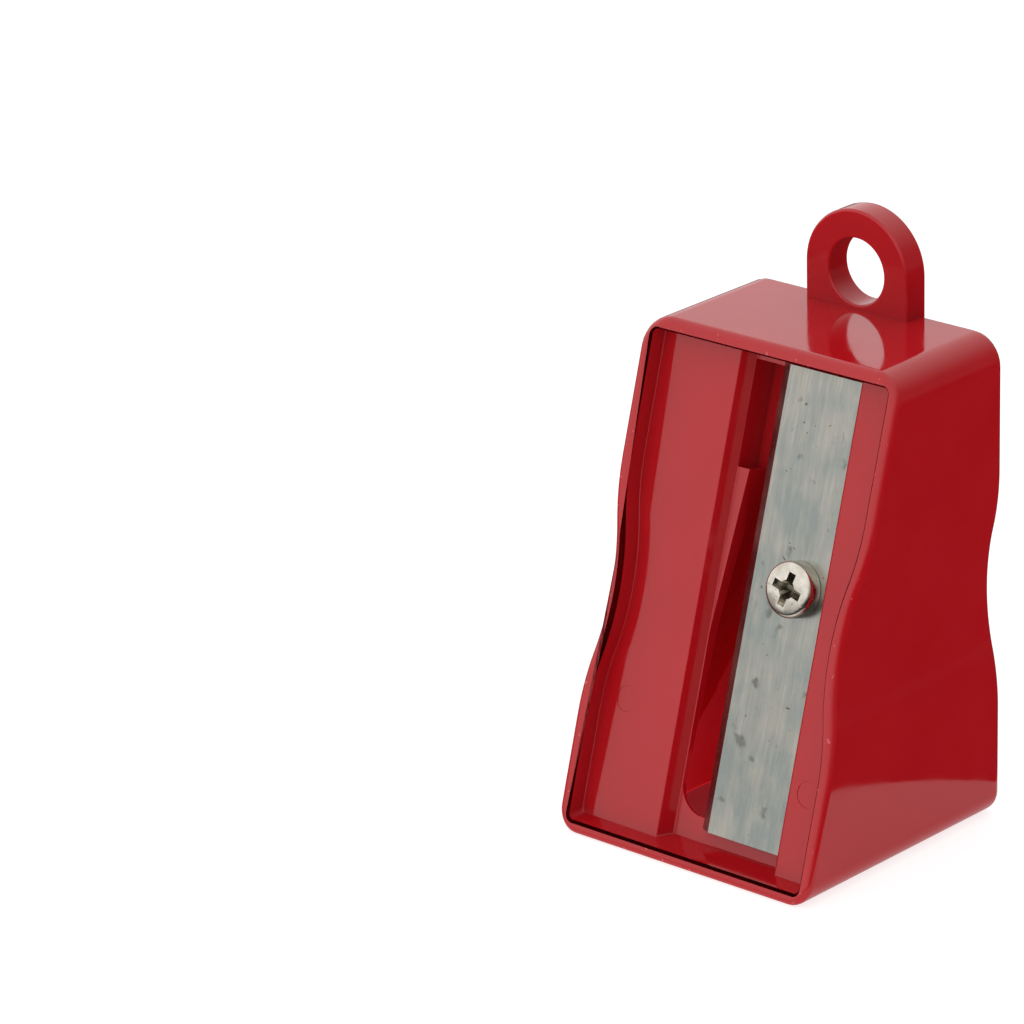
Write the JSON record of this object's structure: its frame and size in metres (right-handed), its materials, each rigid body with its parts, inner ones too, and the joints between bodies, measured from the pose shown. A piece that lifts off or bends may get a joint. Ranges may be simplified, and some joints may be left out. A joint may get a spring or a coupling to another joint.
{
  "type": "pencil sharpener",
  "caption": "Hand-held wedge-shaped sharpener with a conical bore, a shaving slot, a screwed-on steel blade and a hanging loop.",
  "frame": {"origin": "centre of the bore's round mouth, in the plane of the base that the part stands on", "axes": "+Z along the bore from its mouth towards the hanging loop; -Y out of the leaning face that holds the blade; +Y out of the flat back; +X to the blade's side of the bore seen from the front"},
  "size_m": [0.0318, 0.0309, 0.0602],
  "materials": {
    "body_plastic": "glossy moulded red plastic",
    "blade_steel": "plain ground strip steel, fine grain along the blade",
    "screw_nickel": "bright nickel plate, slightly dulled"
  },
  "bodies": {
    "body": {"body": "body_plastic"},
    "blade": {"blade": "blade_steel"},
    "screw": {"blade_screw": "screw_nickel"}
  },
  "joints": [
    {"name": "blade_lift", "type": "slide", "parent": "body", "child": "blade", "axis": [0, -0.9589, 0.2838], "range_m": [0, 0.00385]},
    {"name": "screw_turn", "type": "hinge", "parent": "blade", "child": "screw", "pos_m": [0.0063, -0.00444, 0.0272], "axis": [0, -0.9589, 0.2838], "range_deg": [0, 1260]}
  ],
  "couplings": [
    {"joint": "screw_turn", "follows": "blade_lift", "rad_per_m": 5712}
  ]
}
